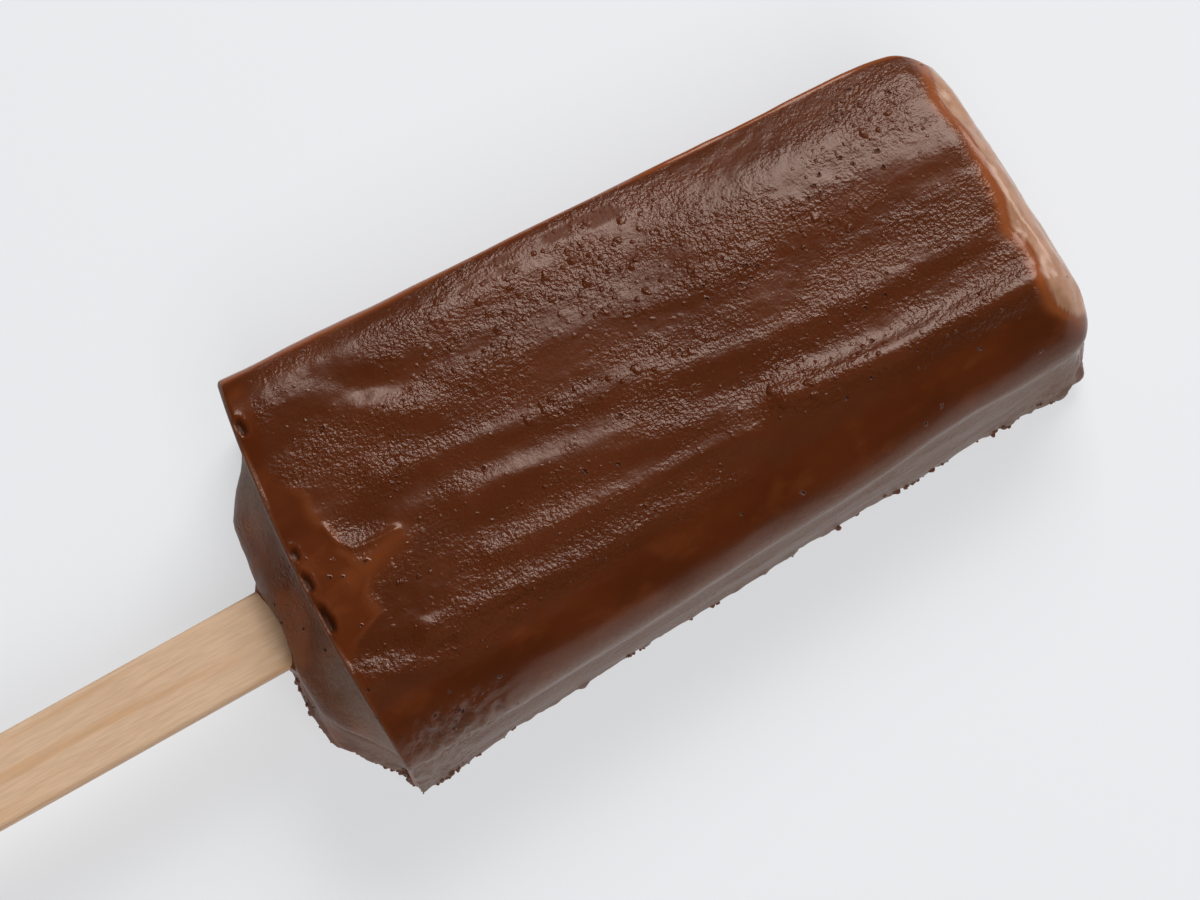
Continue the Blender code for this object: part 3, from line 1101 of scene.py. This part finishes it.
def build_stage(settings):
    """A pale floor that gives off a little light itself, so that shadows on it stay faint."""
    finish = Finish("pale_floor")
    finish.set(Base_Color=solid(settings.floor_color), Roughness=0.9)
    finish.set(Emission_Color=solid(settings.floor_color), Emission_Strength=settings.floor_light)
    half = FLOOR_HALF_SIZE
    corners = np.array([(-half, -half, 0), (half, -half, 0), (half, half, 0), (-half, half, 0)])
    floor = new_mesh_object("floor", corners, [[0, 1, 2, 3]], finish.material)
    add_lamp("key", KEY_PLACE, settings.key_power)
    add_lamp("tip light", TIP_PLACE, settings.tip_power)
    fill = add_lamp("fill", FILL_PLACE, settings.fill_power)
    fill.visible_glossy = False
    world = bpy.data.worlds.new("studio")
    world.use_nodes = True
    background = world.node_tree.nodes["Background"]
    background.inputs["Color"].default_value = (1, 1, 1, 1)
    background.inputs["Strength"].default_value = settings.world_strength
    bpy.context.scene.world = world
    bpy.context.scene.view_settings.view_transform = "Standard"
    add_camera(settings)


# ---------------------------------------------------------------------------- add-on


def length(name, description, default):
    return bpy.props.FloatProperty(
        name=name, description=description, default=default, unit="LENGTH", precision=5
    )


def color(name, description, default):
    return bpy.props.FloatVectorProperty(
        name=name, description=description, default=default, subtype="COLOR", size=3, min=0, max=1
    )


def angle(name, description, degrees):
    return bpy.props.FloatProperty(
        name=name, description=description, default=math.radians(degrees), subtype="ANGLE"
    )


class IceBarSettings(bpy.types.PropertyGroup):
    groove_depth: length("Groove depth", "Depth of the groove inside the rim", 0.0004)
    dome_height: length("Dome height", "How far the dome stands out past the rim", 0.0050)
    furrow_depth: length("Furrow depth", "Depth of the drag furrows along the front", 0.00035)
    drag_angle: angle("Drag angle", "Turn of the furrows off the bar's axis", -4.0)
    dark_color: color("Dark brown", "Darker chocolate", (0.078, 0.0168, 0.0040))
    brown_color: color("Brown", "Lighter chocolate", (0.094, 0.0210, 0.0052))
    wet_dark_color: color("Dark wet brown", "Darker melted chocolate", (0.080, 0.0162, 0.0034))
    wet_color: color("Wet brown", "Melted chocolate", (0.104, 0.0220, 0.0050))
    # Orange brown for random patches on the melt and the dome, and for the painted glow on thin
    # edges.
    glow_color: color("Thin edges", "Chocolate where it is thin", (0.250, 0.0660, 0.0180))
    dome_color: color("Dome", "Chocolate at the stick end", (0.125, 0.0400, 0.0160))
    # Painted shade inside pits, pinholes and the lip's hollows.
    hole_shade_color: color("Holes", "Chocolate inside pits and pinholes", (0.024, 0.0060, 0.0020))
    # Frost grey. On the near wall and the end's slope it also stands in for a painted floor
    # reflection.
    frost_and_sheen_color: color("Frost", "Frosted chocolate", (0.235, 0.160, 0.122))
    # The pale strip's two colours are a painted highlight of the light past the tip.
    tip_highlight_color: color("Pale strip", "Paler chocolate round the tip", (0.410, 0.225, 0.142))
    tip_highlight_dark_color: color("Darker strip", "Browner patches of the strip", (0.330, 0.165, 0.095))
    shine_color: color("Shine", "Tint of the chocolate's shine", (1.0, 0.82, 0.72))


class CrumbSettings(bpy.types.PropertyGroup):
    crumb_count: bpy.props.IntProperty(name="Crumbs", description="How many crumbs", default=900)
    crumb_size: length("Crumb size", "Radius of the largest crumb", 0.00038)
    crumb_color: color("Crumb", "Brown crumbs", (0.150, 0.0520, 0.0230))
    pale_crumb_color: color("Frosted crumb", "Frosted crumbs", (0.175, 0.092, 0.060))


class StickSettings(bpy.types.PropertyGroup):
    birch_color: color("Birch", "Bare pale wood", (0.690, 0.465, 0.300))
    streak_color: color("Streak", "Warmer streaks in the wood", (0.620, 0.370, 0.205))
    grain_color: color("Grain", "Darker fibres", (0.500, 0.320, 0.190))


class StageSettings(bpy.types.PropertyGroup):
    floor_color: color("Floor", "Pale floor", (0.300, 0.304, 0.311))
    floor_light: bpy.props.FloatProperty(
        name="Floor light", description="Strength of the light that the floor gives off", default=1.76
    )
    key_power: bpy.props.FloatProperty(
        name="Key power", description="Power of the large softbox", default=19.5, unit="POWER"
    )
    tip_power: bpy.props.FloatProperty(
        name="Tip power", description="Power of the softbox past the tip", default=2.4, unit="POWER"
    )
    fill_power: bpy.props.FloatProperty(
        name="Fill power", description="Power of the fill light, which leaves no shine", default=11.0,
        unit="POWER",
    )
    world_strength: bpy.props.FloatProperty(
        name="World", description="Strength of the even light from all round", default=0.03
    )
    view_azimuth: angle("View azimuth", "Turn of the camera round the bar", -28.6)
    view_elevation: angle("View elevation", "Height of the camera over the floor", 76.7)
    view_roll: angle("View roll", "Roll of the camera", -1.7)
    view_distance: length("View distance", "Distance of the camera from what it looks at", 0.400)


class ICEBAR_OT_bar(bpy.types.Operator):
    """Build the chocolate block's skin"""

    bl_idname = "icebar.bar"
    bl_label = "Ice Cream Block"

    def execute(self, context):
        build_bar(context.scene.ice_bar)
        return {"FINISHED"}


class ICEBAR_OT_crumbs(bpy.types.Operator):
    """Build the crumbs along the block's back edges"""

    bl_idname = "icebar.crumbs"
    bl_label = "Crumbs"

    def execute(self, context):
        build_crumbs(context.scene.ice_crumbs)
        return {"FINISHED"}


class ICEBAR_OT_stick(bpy.types.Operator):
    """Build the wooden stick"""

    bl_idname = "icebar.stick"
    bl_label = "Stick"

    def execute(self, context):
        build_stick(context.scene.ice_stick)
        return {"FINISHED"}


class ICEBAR_OT_stage(bpy.types.Operator):
    """Build the floor, lamps and camera"""

    bl_idname = "icebar.stage"
    bl_label = "Stage"

    def execute(self, context):
        build_stage(context.scene.ice_stage)
        return {"FINISHED"}


class ICEBAR_PT_panel(bpy.types.Panel):
    """Lists the pieces of the bar"""

    bl_idname = "ICEBAR_PT_panel"
    bl_label = "Ice Cream Bar"
    bl_space_type = "VIEW_3D"
    bl_region_type = "UI"
    bl_category = "Ice Cream Bar"

    def draw(self, context):
        for name in BUILD_ORDER:
            self.layout.operator("icebar." + name)


BUILD_ORDER = ("stage", "bar", "crumbs", "stick")
CLASSES = (
    IceBarSettings,
    CrumbSettings,
    StickSettings,
    StageSettings,
    ICEBAR_OT_bar,
    ICEBAR_OT_crumbs,
    ICEBAR_OT_stick,
    ICEBAR_OT_stage,
    ICEBAR_PT_panel,
)


def register():
    for entry in CLASSES:
        bpy.utils.register_class(entry)
    bpy.types.Scene.ice_bar = bpy.props.PointerProperty(type=IceBarSettings)
    bpy.types.Scene.ice_crumbs = bpy.props.PointerProperty(type=CrumbSettings)
    bpy.types.Scene.ice_stick = bpy.props.PointerProperty(type=StickSettings)
    bpy.types.Scene.ice_stage = bpy.props.PointerProperty(type=StageSettings)


def unregister():
    del bpy.types.Scene.ice_stage
    del bpy.types.Scene.ice_stick
    del bpy.types.Scene.ice_crumbs
    del bpy.types.Scene.ice_bar
    for entry in reversed(CLASSES):
        bpy.utils.unregister_class(entry)


def main():
    register()
    for name in BUILD_ORDER:
        getattr(bpy.ops.icebar, name)()


if __name__ == "__main__":
    main()
